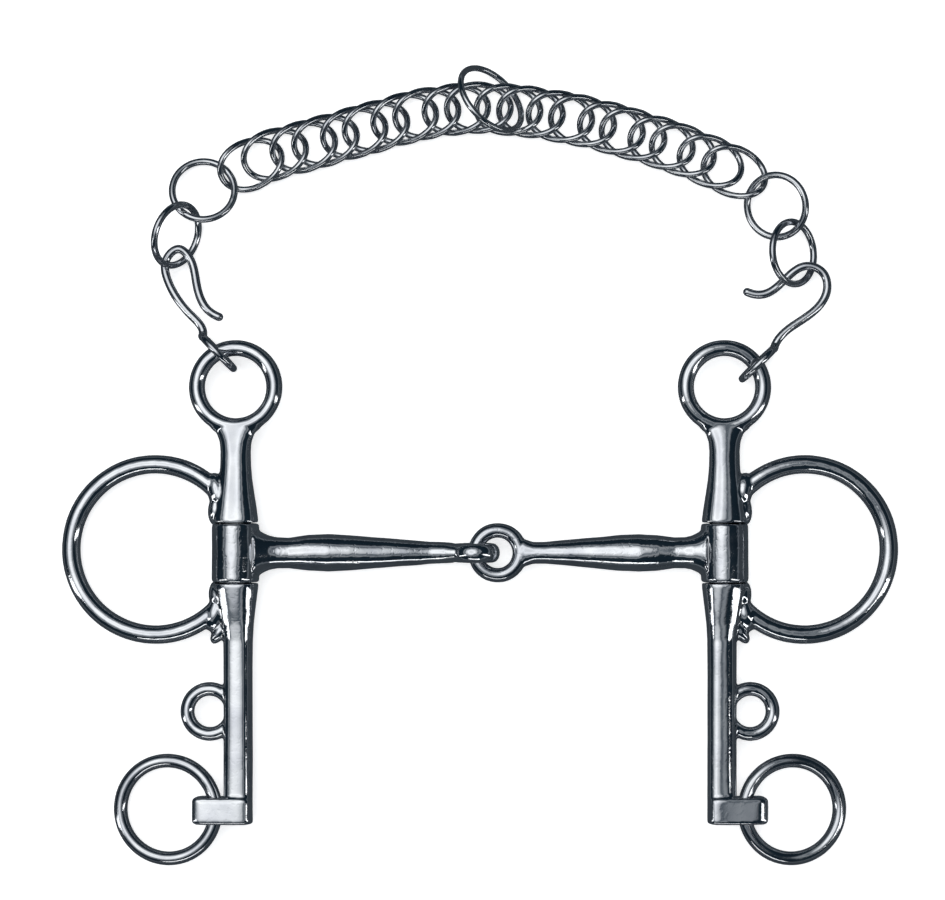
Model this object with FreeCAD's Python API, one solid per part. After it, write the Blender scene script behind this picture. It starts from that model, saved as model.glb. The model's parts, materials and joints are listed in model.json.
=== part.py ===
"""Curb bit with a jointed mouthpiece, fixed snaffle rings and a double-link curb chain.

Units are millimetres. The bit lies flat: +X runs to the right cheek, +Y to the upper
eyes and the chain, +Z up off the surface. The origin is the middle of the mouthpiece.
"""
import FreeCAD, Part
import math
import os

# Mouthpiece
MOUTH_WIDTH = 140.0          # clear width between the two sleeves
SLEEVE_R = 7.6
SLEEVE_LENGTH = 18.6
SLEEVE_BORE_R = 4.6
RUNNING_GAP = 0.1            # radial clearance of the pin in the sleeve
SEAM_GAP = 0.3               # gap between a sleeve's end and the cheek's shoulder
WAIST_R = 4.75               # bar just inside the sleeve
BELLY_R = 6.0                # fullest part of the bar
NECK_R = 3.4                 # bar just before its eye
FLAT_EYE_X = 5.6             # centre of the right bar's eye, which lies flat
FLAT_EYE_R = 7.1             # centreline radius of that eye
FLAT_EYE_WIRE_R = 2.37
UPRIGHT_EYE_R = 5.5          # centreline radius of the left bar's eye, which stands up
UPRIGHT_EYE_WIRE_R = 2.4
UPRIGHT_EYE_HALF_WIDTH = 3.2

# Cheeks
CHEEK_TILT_DEG = 5.1         # the cheeks roll outwards until the snaffle rings touch down
UPPER_EYE_Y = 52.6
UPPER_EYE_R = 12.4
UPPER_EYE_WIRE_R = 2.6
NECK_HALF_WIDTH = 5.1
NECK_HALF_DEPTH = 3.6
SHOULDER_HALF_WIDTH = 7.3
SHOULDER_HALF_DEPTH = 5.6
SHANK_HALF_WIDTH = 4.6
SHANK_HALF_DEPTH = 3.9
SHANK_OFFSET = -0.8          # the shank sits a little inside the cheek's axis
SNAFFLE_RING_R = 27.1
SNAFFLE_RING_INSET = 1.3     # how far the ring's own circle runs inside the cheek's axis
SNAFFLE_RING_X = SNAFFLE_RING_R - SNAFFLE_RING_INSET
SNAFFLE_RING_Y = 1.0
SNAFFLE_RING_WIRE_R = 3.0
STRAP_LOOP_X = 8.3
STRAP_LOOP_Y = -50.4
STRAP_LOOP_R = 7.1
STRAP_LOOP_WIRE_R = 2.4
STRAP_HOLE_R = 4.9
HANGER_Y = -81.8
HANGER_HEIGHT = 8.6
SHANK_END_Y = HANGER_Y - HANGER_HEIGHT / 2 + 0.1
HANGER_REACH = 13.7
HANGER_DEPTH = 9.6
HANGER_SLOT_WIDTH = 5.6
HANGER_SLOT_START = 3.2
HANGER_SLOT_END = 11.3

# Curb rings
CURB_RING_R = 15.55
CURB_RING_WIRE_R = 2.2
CURB_RING_X = 6.4            # where the ring passes through the hanger's slot
CURB_RING_TILT_DEG = 9.6

# Curb hooks
HOOK_WIRE_R = 1.35
HOOK_EYE_WIRE_R = 1.2
HOOK_HEEL_SWELL = 0.08
HOOK_EYE_HALF_LENGTH = 7.2
HOOK_EYE_HALF_HEIGHT = 6.6
HOOK_EYE_Z = 0.3
HOOK_BEND_Z = -3.0

# Curb chain
CHAIN_Z = -4.85
LINK_HALF_LENGTH = 10.2
LINK_HALF_WIDTH = 7.4
LINK_TWIST = 2.15            # how far the twisted wire leaves the link's plane
LINK_WIRE_R = 1.0
LONG_PITCH = 9.5
SHORT_PITCH = 7.2
END_PITCH = 8.3
PLAIN_RING_R = 9.9
PLAIN_RING_WIRE_R = 1.1
FLY_RING_R = 12.0
FLY_RING_WIRE_R = 1.0

CHEEK_X = MOUTH_WIDTH / 2 + SLEEVE_R

# How the pieces lie at rest ------------------------------------------------------------

# Direction of each pitch of the chain, first to last, in degrees from +X.
CHAIN_HEADINGS = [
    23, 15, 15.5, 15.5, 15.5, 15.5, 13, 8, 4, -4, -6, -9, -11, -14, -16, -17, -19, -22, -23,
]
# Middles of the first and last twisted links, from the middle of the ring beside each.
FIRST_LINK_REACH = (15.093, 8.428)
LAST_LINK_REACH = (-13.032, 11.118)
# Plain rings: how far outwards, up the bit and off the surface their middles lie from the
# upper eye of their side, the direction in the surface they are rolled about, the roll.
RING_LAY = {
    "left_outer_ring": ((18.7, 48.2, 1.0), 70.0, 54.0),
    "left_inner_ring": ((10.5, 62.7, -3.4), -6.0, -18.0),
    "right_inner_ring": ((16.6, 57.6, -1.8), -71.0, 27.0),
    "right_outer_ring": ((21.8, 42.6, 0.0), 94.0, 44.0),
}
# The ring round the middle links: from the middle of link 11, and laid the same way.
FLY_LAY = ((-5.577, 2.663, 2.4), 131.0, 53.0)
# Waypoints of the hook wires from the tip to the eye, outwards and up from the upper eye.
LEFT_HOOK_PATH = [
    (5.3, 22.3), (10.9, 27.4), (12.8, 33.9), (14.7, 40.8), (18.3, 44.0),
    (22.1, 41.0), (21.8, 34.1), (18.4, 27.8), (14.2, 22.8), (10.4, 17.8),
]
RIGHT_HOOK_PATH = [
    (7.4, 30.3), (15.4, 30.8), (21.0, 35.8), (26.2, 38.6), (31.6, 36.4),
    (32.8, 30.9), (29.4, 25.0), (23.2, 20.4), (17.4, 15.6),
]
LEFT_HOOK_EYE = (5.7, 11.1)
RIGHT_HOOK_EYE = (10.8, 7.6)
LEFT_HOOK_EYE_HEADING = 134.0
RIGHT_HOOK_EYE_HEADING = 44.0


# Small helpers -------------------------------------------------------------------------

def vec(x, y, z=0.0):
    """Return a vector."""
    return FreeCAD.Vector(x, y, z)


def turned(shape, centre, axis, degrees):
    """Return a copy of the shape turned about an axis through a point."""
    copy = shape.copy()
    copy.rotate(vec(*centre), vec(*axis), degrees)
    return copy


def mirrored_x(shape):
    """Return the shape mirrored across the plane X = 0."""
    return shape.mirror(vec(0, 0, 0), vec(1, 0, 0))


def by_eye(side, point):
    """Return a place given outwards and up from the middle of one side's upper eye."""
    return (side * (CHEEK_X + point[0]), UPPER_EYE_Y + point[1]) + tuple(point[2:])


def fused(shapes):
    """Return one solid made of the given shapes."""
    body = shapes[0].fuse(shapes[1:])
    body = body.removeSplitter()
    if body.Solids:
        return max(body.Solids, key=lambda solid: solid.Volume)
    return body


def torus(centre, normal, ring_r, wire_r):
    """Return a ring of round wire."""
    return Part.makeTorus(ring_r, wire_r, vec(*centre), vec(*normal))


def ellipse_wire(centre, normal, along, half_long, half_short):
    """Return an elliptical section whose long axis points along the given direction."""
    normal = vec(*normal).normalize()
    along = vec(*along).normalize()
    across = normal.cross(along)
    points = []
    for step in range(12):
        angle = 2 * math.pi * step / 12
        offset = along * (half_long * math.cos(angle)) + across * (half_short * math.sin(angle))
        points.append(vec(*centre) + offset)
    curve = Part.BSplineCurve()
    curve.interpolate(Points=points, PeriodicFlag=True)
    return Part.Wire(curve.toShape())


def swept_wire(points, wire_r, closed=False, binormal=None):
    """Return round wire of one radius swept along a smooth path.

    A flat path takes the normal of its plane as the binormal.
    """
    curve = Part.BSplineCurve()
    curve.interpolate(Points=points, PeriodicFlag=closed)
    stops = [curve.FirstParameter, curve.LastParameter]
    if closed:
        stops.insert(1, (stops[0] + stops[1]) / 2)
    lengths = []
    for first, last in zip(stops, stops[1:]):
        start = curve.value(first)
        tangent = curve.tangent(first)[0]
        section = Part.Wire(Part.makeCircle(wire_r, start, tangent))
        path = Part.Wire(curve.toShape(first, last))
        if binormal is None:
            lengths.append(path.makePipeShell([section], True, False))
        else:
            sweep = Part.BRepOffsetAPI.MakePipeShell(path)
            sweep.setBiNormalMode(binormal)
            sweep.add(section)
            sweep.build()
            sweep.makeSolid()
            lengths.append(sweep.shape())
    if closed:
        return lengths[0].fuse(lengths[1]).Solids[0]
    return lengths[0]


# Mouthpiece ----------------------------------------------------------------------------

def bar_profile(start_x, end_x):
    """Return (x, radius) stations of a bar from its sleeve to its eye."""
    length = end_x - start_x
    stations = [
        (0.0, SLEEVE_R * 0.86),
        (0.05, SLEEVE_R * 0.74),
        (0.11, WAIST_R + 0.25),
        (0.17, WAIST_R + 0.05),
        (0.36, BELLY_R),
        (0.58, BELLY_R * 0.84),
        (0.80, (BELLY_R + NECK_R) / 2 * 0.86),
        (0.93, NECK_R),
        (1.0, NECK_R),
    ]
    return [(start_x + length * share, radius) for share, radius in stations]


def bar(start_x, end_x):
    """Return the turned, softly waisted bar of one half of the mouthpiece."""
    points = [vec(x, 0, radius) for x, radius in bar_profile(start_x, end_x)]
    curve = Part.BSplineCurve()
    curve.interpolate(Points=points)
    first = points[0]
    last = points[-1]
    edges = [
        curve.toShape(),
        Part.makeLine(last, vec(last.x, 0, 0)),
        Part.makeLine(vec(last.x, 0, 0), vec(first.x, 0, 0)),
        Part.makeLine(vec(first.x, 0, 0), first),
    ]
    face = Part.Face(Part.Wire(edges))
    return face.revolve(vec(0, 0, 0), vec(1, 0, 0), 360)


def sleeve(x):
    """Return the sleeve blank round the cheek's axis, without its bore."""
    base = vec(x, -SLEEVE_LENGTH / 2, 0)
    blank = Part.makeCylinder(SLEEVE_R, SLEEVE_LENGTH, base, vec(0, 1, 0))
    return blank.makeFillet(0.6, blank.Edges)


def sleeve_bore(x):
    """Return the hole for the cheek's pin."""
    base = vec(x, -SLEEVE_LENGTH, 0)
    return Part.makeCylinder(SLEEVE_BORE_R, 2 * SLEEVE_LENGTH, base, vec(0, 1, 0))


def upright_eye(centre_x):
    """Return the left bar's eye: an oval section turned about the Y direction."""
    section = ellipse_wire(
        (centre_x + UPRIGHT_EYE_R, 0, 0),
        (0, 0, 1),
        (0, 1, 0),
        UPRIGHT_EYE_HALF_WIDTH,
        UPRIGHT_EYE_WIRE_R,
    )
    return Part.Face(section).revolve(vec(centre_x, 0, 0), vec(0, 1, 0), 360)


def fork(eye_x, eye_r, side):
    """Return the blend that spreads a bar's neck into its eye, standing up."""
    root = ellipse_wire((eye_x + side * (eye_r + 9.0), 0, 0), (1, 0, 0), (0, 1, 0), NECK_R, NECK_R)
    throat = ellipse_wire((eye_x + side * (eye_r + 0.6), 0, 0), (1, 0, 0), (0, 1, 0), 2.3, 4.6)
    return Part.makeLoft([root, throat], True)


def left_cannon():
    """Return the left half of the mouthpiece; its eye stands up round the other's."""
    pin_x = FLAT_EYE_X - FLAT_EYE_R
    eye = upright_eye(pin_x)
    body = fused([
        sleeve(-CHEEK_X),
        bar(-CHEEK_X + SLEEVE_R - 1.6, pin_x - UPRIGHT_EYE_R),
        fork(pin_x, UPRIGHT_EYE_R, -1),
        eye,
    ])
    hole = Part.makeCylinder(
        UPRIGHT_EYE_R - UPRIGHT_EYE_WIRE_R, 20, vec(pin_x, -10, 0), vec(0, 1, 0))
    return body.cut(hole).cut(sleeve_bore(-CHEEK_X))


def right_cannon():
    """Return the right half of the mouthpiece; its eye lies flat."""
    eye = torus((FLAT_EYE_X, 0, 0), (0, 0, 1), FLAT_EYE_R, FLAT_EYE_WIRE_R)
    blend = turned(fork(FLAT_EYE_X, FLAT_EYE_R, 1), (0, 0, 0), (1, 0, 0), 90)
    half = bar(-CHEEK_X + SLEEVE_R - 1.6, -FLAT_EYE_X - FLAT_EYE_R)
    body = fused([sleeve(CHEEK_X), mirrored_x(half), blend, eye])
    hole_r = FLAT_EYE_R - FLAT_EYE_WIRE_R
    hole = Part.makeCylinder(hole_r, 20, vec(FLAT_EYE_X, 0, -10), vec(0, 0, 1))
    return body.cut(hole).cut(sleeve_bore(CHEEK_X))


# Cheeks --------------------------------------------------------------------------------

def column(stations):
    """Return an upright bar lofted through (y, x, half width, half depth) stations."""
    sections = []
    for y, x, half_width, half_depth in stations:
        sections.append(ellipse_wire((x, y, 0), (0, 1, 0), (1, 0, 0), half_width, half_depth))
    return Part.makeLoft(sections, True)


def upper_neck():
    """Return the cheek from the sleeve's shoulder up to the upper eye."""
    start = SLEEVE_LENGTH / 2 + SEAM_GAP
    eye_bottom = UPPER_EYE_Y - UPPER_EYE_R
    return column([
        (start, 0.0, SHOULDER_HALF_WIDTH, SHOULDER_HALF_DEPTH),
        (start + 5.0, 0.0, SHOULDER_HALF_WIDTH * 0.93, SHOULDER_HALF_DEPTH * 0.92),
        (start + 13.0, 0.0, NECK_HALF_WIDTH * 1.1, NECK_HALF_DEPTH * 1.12),
        (start + 21.0, 0.0, NECK_HALF_WIDTH, NECK_HALF_DEPTH),
        (eye_bottom - 4.0, 0.0, NECK_HALF_WIDTH * 1.1, NECK_HALF_DEPTH * 0.88),
        (eye_bottom, 0.0, NECK_HALF_WIDTH * 1.5, UPPER_EYE_WIRE_R * 0.98),
    ])


def shank():
    """Return the cheek from the sleeve's lower shoulder down to the foot."""
    start = -SLEEVE_LENGTH / 2 - SEAM_GAP
    x = SHANK_OFFSET
    return column([
        (start, 0.0, SHOULDER_HALF_WIDTH, SHOULDER_HALF_DEPTH),
        (start - 4.0, 0.0, SHOULDER_HALF_WIDTH * 0.92, SHOULDER_HALF_DEPTH * 0.93),
        (start - 12.0, x * 0.6, SHANK_HALF_WIDTH * 1.22, SHANK_HALF_DEPTH * 1.12),
        (start - 20.0, x, SHANK_HALF_WIDTH * 1.03, SHANK_HALF_DEPTH),
        (start - 32.0, x, SHANK_HALF_WIDTH, SHANK_HALF_DEPTH),
        (start - 46.0, x, SHANK_HALF_WIDTH, SHANK_HALF_DEPTH),
        (start - 61.0, x, SHANK_HALF_WIDTH, SHANK_HALF_DEPTH),
        (SHANK_END_Y, x, SHANK_HALF_WIDTH, SHANK_HALF_DEPTH),
    ])


def snaffle_ring():
    """Return the fixed ring, opened where the sleeve turns."""
    ring = torus(
        (SNAFFLE_RING_X, SNAFFLE_RING_Y, 0), (0, 0, 1), SNAFFLE_RING_R, SNAFFLE_RING_WIRE_R)
    height = SLEEVE_LENGTH + 2 * SEAM_GAP
    gate = Part.makeBox(26, height, 20, vec(-13, -height / 2, -10))
    return ring.cut(gate)


def ring_webs():
    """Return the two cast fillets where the snaffle ring runs into the cheek."""
    webs = []
    for side in (1, -1):
        y = side * 17.0
        outer = vec(12.6, side * 25.2, 0)
        inner = vec(3.0, side * 31.0, 0)
        corner = vec(3.0, y, 0)
        face = Part.Face(Part.makePolygon([outer, inner, corner, outer]))
        plate = face.extrude(vec(0, 0, 3.4))
        plate.translate(vec(0, 0, -1.7))
        webs.append(plate)
    return webs


def hanger():
    """Return the foot block whose slot holds the curb ring."""
    low = HANGER_Y - HANGER_HEIGHT / 2
    left = SHANK_OFFSET - SHANK_HALF_WIDTH
    block = Part.makeBox(
        HANGER_REACH - left, HANGER_HEIGHT, HANGER_DEPTH, vec(left, low, -HANGER_DEPTH / 2))
    upright = [edge for edge in block.Edges if abs(edge.tangentAt(edge.FirstParameter).y) > 0.9]
    return block.makeFillet(2.6, upright)


def hanger_slot():
    """Return the slot through the hanger, open along Y."""
    width = HANGER_SLOT_END - HANGER_SLOT_START
    low = HANGER_Y - HANGER_HEIGHT
    slot = Part.makeBox(
        width,
        2 * HANGER_HEIGHT,
        HANGER_SLOT_WIDTH,
        vec(HANGER_SLOT_START, low, -HANGER_SLOT_WIDTH / 2),
    )
    upright = [edge for edge in slot.Edges if abs(edge.tangentAt(edge.FirstParameter).y) > 0.9]
    return slot.makeFillet(2.2, upright)


def cheek():
    """Return a right-hand cheek standing upright on its own axis, before it is tilted."""
    pin = Part.makeCylinder(
        SLEEVE_BORE_R - RUNNING_GAP, SLEEVE_LENGTH + 8, vec(0, -SLEEVE_LENGTH / 2 - 4, 0), vec(0, 1, 0))
    upper_eye = torus((0, UPPER_EYE_Y, 0), (0, 0, 1), UPPER_EYE_R, UPPER_EYE_WIRE_R)
    eye_hole = Part.makeCylinder(
        UPPER_EYE_R - UPPER_EYE_WIRE_R, 20, vec(0, UPPER_EYE_Y, -10), vec(0, 0, 1))
    loop = torus((STRAP_LOOP_X, STRAP_LOOP_Y, 0), (0, 0, 1), STRAP_LOOP_R, STRAP_LOOP_WIRE_R)
    strap_hole = Part.makeCylinder(
        STRAP_HOLE_R, 20, vec(STRAP_LOOP_X, STRAP_LOOP_Y, -10), vec(0, 0, 1))
    neck = upper_neck().cut(eye_hole)
    pieces = [neck, shank(), pin, upper_eye, snaffle_ring(), loop, hanger()]
    body = fused(pieces + ring_webs())
    return body.cut(strap_hole).cut(hanger_slot())


def laid_cheek(side):
    """Return the cheek of one side in its place, rolled outwards onto the surface."""
    body = turned(cheek(), (0, 0, 0), (0, 1, 0), CHEEK_TILT_DEG)
    body.translate(vec(CHEEK_X, 0, 0))
    if side < 0:
        return mirrored_x(body)
    return body


def curb_ring_centre():
    """Return the middle of the right curb ring at rest."""
    tilt = math.radians(CHEEK_TILT_DEG)
    fall = math.radians(CURB_RING_TILT_DEG)
    x = CHEEK_X + CURB_RING_X * math.cos(tilt) + CURB_RING_R * math.cos(fall)
    z = -CURB_RING_X * math.sin(tilt) - CURB_RING_R * math.sin(fall)
    return (x, HANGER_Y, z)


def curb_ring(side):
    """Return one curb ring, lying down outwards from its hanger."""
    fall = math.radians(CURB_RING_TILT_DEG)
    ring = torus(
        curb_ring_centre(), (math.sin(fall), 0, math.cos(fall)), CURB_RING_R, CURB_RING_WIRE_R)
    if side < 0:
        return mirrored_x(ring)
    return ring


# Curb hooks ----------------------------------------------------------------------------

def hook_points(side, path, eye, heading):
    """Return the hook's waypoints in space; the wire comes down to the surface at its bend."""
    reach = HOOK_EYE_HALF_LENGTH - 0.4
    angle = math.radians(heading)
    end = (eye[0] + reach * math.cos(angle), eye[1] + reach * math.sin(angle))
    path = [by_eye(side, point) for point in path]
    bend_y = max(point[1] for point in path)
    points = []
    for x, y in path:
        share = (y - end[1]) / (bend_y - end[1])
        points.append(vec(x, y, HOOK_EYE_Z + (HOOK_BEND_Z - HOOK_EYE_Z) * min(1.0, share * 1.3)))
    points.append(vec(end[0], end[1], HOOK_EYE_Z))
    return points


def hook_eye(eye, heading):
    """Return the closed oval eye, standing across the cheek's upper eye."""
    angle = math.radians(heading)
    points = []
    for step in range(16):
        turn = math.pi / 2 + 2 * math.pi * step / 16
        reach = HOOK_EYE_HALF_LENGTH * math.cos(turn)
        rise = HOOK_EYE_HALF_HEIGHT * math.sin(turn)
        x = eye[0] + reach * math.cos(angle)
        y = eye[1] + reach * math.sin(angle)
        points.append(vec(x, y, HOOK_EYE_Z + rise))
    across = vec(-math.sin(angle), math.cos(angle))
    return swept_wire(points, HOOK_EYE_WIRE_R, closed=True, binormal=across)


def curb_hook(side, path, eye, heading):
    """Return one curb hook: rounded tip, bend, shank and closed eye."""
    eye = by_eye(side, eye)
    points = hook_points(side, path, eye, heading)
    wire = swept_wire(points, HOOK_WIRE_R, binormal=vec(0, 0, 1))
    tip = Part.makeSphere(HOOK_WIRE_R, points[0])
    heel = Part.makeSphere(HOOK_WIRE_R + HOOK_HEEL_SWELL, points[-1])
    hook = wire
    for piece in (heel, tip, hook_eye(eye, heading)):
        hook = hook.fuse(piece).Solids[0]
    return hook


# Curb chain ----------------------------------------------------------------------------

def pitch_length(index):
    """Return the distance from one link's middle to the next one's."""
    if index in (0, len(CHAIN_HEADINGS) - 1):
        return END_PITCH
    if index % 2 == 1:
        return LONG_PITCH
    return SHORT_PITCH


def ring_middle(name):
    """Return the middle of one of the plain rings."""
    side = -1 if name.startswith("left") else 1
    return by_eye(side, RING_LAY[name][0])


def chain_line(bend):
    """Return the links' middles from the first one, with every turn of the chain scaled."""
    middles = [(0.0, 0.0)]
    for index, heading in enumerate(CHAIN_HEADINGS):
        angle = math.radians(heading * bend)
        x, y = middles[-1]
        step = pitch_length(index)
        middles.append((x + step * math.cos(angle), y + step * math.sin(angle)))
    return middles


def link_places():
    """Return the middle and the direction of every twisted link at rest.

    The chain bows as much as its length and the distance between its ends ask for.
    """
    left, right = ring_middle("left_inner_ring"), ring_middle("right_inner_ring")
    first = (left[0] + FIRST_LINK_REACH[0], left[1] + FIRST_LINK_REACH[1])
    last = (right[0] + LAST_LINK_REACH[0], right[1] + LAST_LINK_REACH[1])
    span = math.dist(first, last)
    slack, tight = 5.0, 0.0
    for _ in range(60):
        bend = (slack + tight) / 2
        if math.dist(*chain_line(bend)[::len(CHAIN_HEADINGS)]) < span:
            slack = bend
        else:
            tight = bend
    line = chain_line(bend)
    swing = math.atan2(last[1] - first[1], last[0] - first[0])
    swing -= math.atan2(line[-1][1], line[-1][0])
    middles = []
    for x, y in line:
        middles.append((
            first[0] + x * math.cos(swing) - y * math.sin(swing),
            first[1] + x * math.sin(swing) + y * math.cos(swing),
        ))
    turns = [heading * bend + math.degrees(swing) for heading in CHAIN_HEADINGS]
    headings = [turns[0]]
    for index in range(len(turns) - 1):
        headings.append((turns[index] + turns[index + 1]) / 2)
    headings.append(turns[-1])
    return list(zip(middles, headings))


def link_points(middle, heading, count=24):
    """Return points on a twisted link's centreline."""
    angle = math.radians(heading)
    points = []
    for step in range(count):
        turn = 2 * math.pi * step / count
        along = LINK_HALF_LENGTH * math.cos(turn)
        across = LINK_HALF_WIDTH * math.sin(turn)
        rise = -LINK_TWIST * math.sin(2 * turn)
        x = middle[0] + along * math.cos(angle) - across * math.sin(angle)
        y = middle[1] + along * math.sin(angle) + across * math.cos(angle)
        points.append(vec(x, y, CHAIN_Z + rise))
    return points


def placed_link(link, middle, heading):
    """Return a copy of the link laid at its place in the chain."""
    copy = turned(link, (0, 0, 0), (0, 0, 1), heading)
    copy.translate(vec(middle[0], middle[1], 0))
    return copy


def roll_normal(direction_deg, roll_deg):
    """Return the normal of a ring rolled about a direction in the surface."""
    direction = math.radians(direction_deg)
    roll = math.radians(roll_deg)
    return (
        math.sin(roll) * math.sin(direction),
        -math.sin(roll) * math.cos(direction),
        math.cos(roll),
    )


def plain_ring(name):
    """Return one of the four plain rings at the chain's ends."""
    _, direction, roll = RING_LAY[name]
    normal = roll_normal(direction, roll)
    return torus(ring_middle(name), normal, PLAIN_RING_R, PLAIN_RING_WIRE_R)


def fly_link():
    """Return the ring round the chain's middle links."""
    (along, up, rise), direction, roll = FLY_LAY
    x, y = link_places()[10][0]
    centre = (x + along, y + up, rise)
    return torus(centre, roll_normal(direction, roll), FLY_RING_R, FLY_RING_WIRE_R)


# Assembly ------------------------------------------------------------------------------

def build():
    """Return every piece by name."""
    pieces = {
        "left_cannon": left_cannon(),
        "right_cannon": right_cannon(),
        "left_cheek": laid_cheek(-1),
        "right_cheek": laid_cheek(1),
        "left_curb_ring": curb_ring(-1),
        "right_curb_ring": curb_ring(1),
        "left_curb_hook": curb_hook(
            -1, LEFT_HOOK_PATH, LEFT_HOOK_EYE, LEFT_HOOK_EYE_HEADING),
        "right_curb_hook": curb_hook(
            1, RIGHT_HOOK_PATH, RIGHT_HOOK_EYE, RIGHT_HOOK_EYE_HEADING),
        "fly_link": fly_link(),
    }
    for name in RING_LAY:
        pieces[name] = plain_ring(name)
    link = swept_wire(link_points((0, 0), 0), LINK_WIRE_R, closed=True)
    for number, (middle, heading) in enumerate(link_places(), start=1):
        pieces["chain_link_%02d" % number] = placed_link(link, middle, heading)
    return pieces


def main():
    """Build the pieces and write one STEP file for each."""
    os.makedirs("parts", exist_ok=True)
    for name, shape in build().items():
        if shape.ShapeType != "Solid" and len(shape.Solids) == 1:
            shape = shape.Solids[0]
        shape.exportStep("parts/%s.step" % name)
        print(name, shape.isValid(), len(shape.Solids), round(shape.Volume, 1))


if __name__ == "__main__":
    main()
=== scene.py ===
"""Curb bit of polished stainless steel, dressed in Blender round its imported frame.

Lengths are metres. The bit lies flat: +X runs to the right cheek, +Y to the upper eyes and
the curb chain, +Z up off the surface it rests on.
"""

from __future__ import annotations

import json
import logging
import math
from dataclasses import dataclass, field
from enum import Enum
from typing import Callable, Sequence

import bpy
import numpy as np
from mathutils import Matrix, Vector, noise

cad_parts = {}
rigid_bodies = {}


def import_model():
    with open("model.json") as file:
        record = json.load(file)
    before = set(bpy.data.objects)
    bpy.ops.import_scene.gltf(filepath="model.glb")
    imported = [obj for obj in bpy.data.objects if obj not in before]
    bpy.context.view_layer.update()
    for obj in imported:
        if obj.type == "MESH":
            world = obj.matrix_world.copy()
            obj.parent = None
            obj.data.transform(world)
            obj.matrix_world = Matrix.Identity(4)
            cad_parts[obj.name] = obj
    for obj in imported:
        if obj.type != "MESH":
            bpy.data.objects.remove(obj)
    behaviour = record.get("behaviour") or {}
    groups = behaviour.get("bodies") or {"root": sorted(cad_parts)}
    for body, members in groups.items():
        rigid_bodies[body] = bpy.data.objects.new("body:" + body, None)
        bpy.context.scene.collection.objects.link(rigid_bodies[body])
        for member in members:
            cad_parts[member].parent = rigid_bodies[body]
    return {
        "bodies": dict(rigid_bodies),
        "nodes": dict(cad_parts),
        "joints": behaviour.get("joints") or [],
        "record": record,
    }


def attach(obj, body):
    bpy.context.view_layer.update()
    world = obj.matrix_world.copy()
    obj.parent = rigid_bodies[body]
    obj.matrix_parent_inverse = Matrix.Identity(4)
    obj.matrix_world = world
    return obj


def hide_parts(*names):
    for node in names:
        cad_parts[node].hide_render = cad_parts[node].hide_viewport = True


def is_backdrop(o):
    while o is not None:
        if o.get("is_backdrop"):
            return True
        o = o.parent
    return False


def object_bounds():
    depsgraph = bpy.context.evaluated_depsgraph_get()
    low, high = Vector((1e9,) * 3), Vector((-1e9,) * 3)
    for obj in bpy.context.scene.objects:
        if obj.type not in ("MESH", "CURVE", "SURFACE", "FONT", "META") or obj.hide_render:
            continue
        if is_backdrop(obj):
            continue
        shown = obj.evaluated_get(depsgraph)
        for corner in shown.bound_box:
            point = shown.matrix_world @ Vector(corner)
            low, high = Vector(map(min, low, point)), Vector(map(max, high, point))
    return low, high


LOG = logging.getLogger("curb_bit")
MM = 0.001

Point = tuple[float, float, float]
Ring = list[Vector]


class Side(Enum):
    """Which side of the bit a piece belongs to, as it lies."""

    LEFT = "left"
    RIGHT = "right"

    @property
    def sign(self) -> float:
        """Return -1 for the left side and +1 for the right."""
        return -1.0 if self is Side.LEFT else 1.0


class Slot(Enum):
    """The record's material slots."""

    CAST = "cast_steel"
    WIRE = "wire_steel"


# Finishes ------------------------------------------------------------------------------


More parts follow.
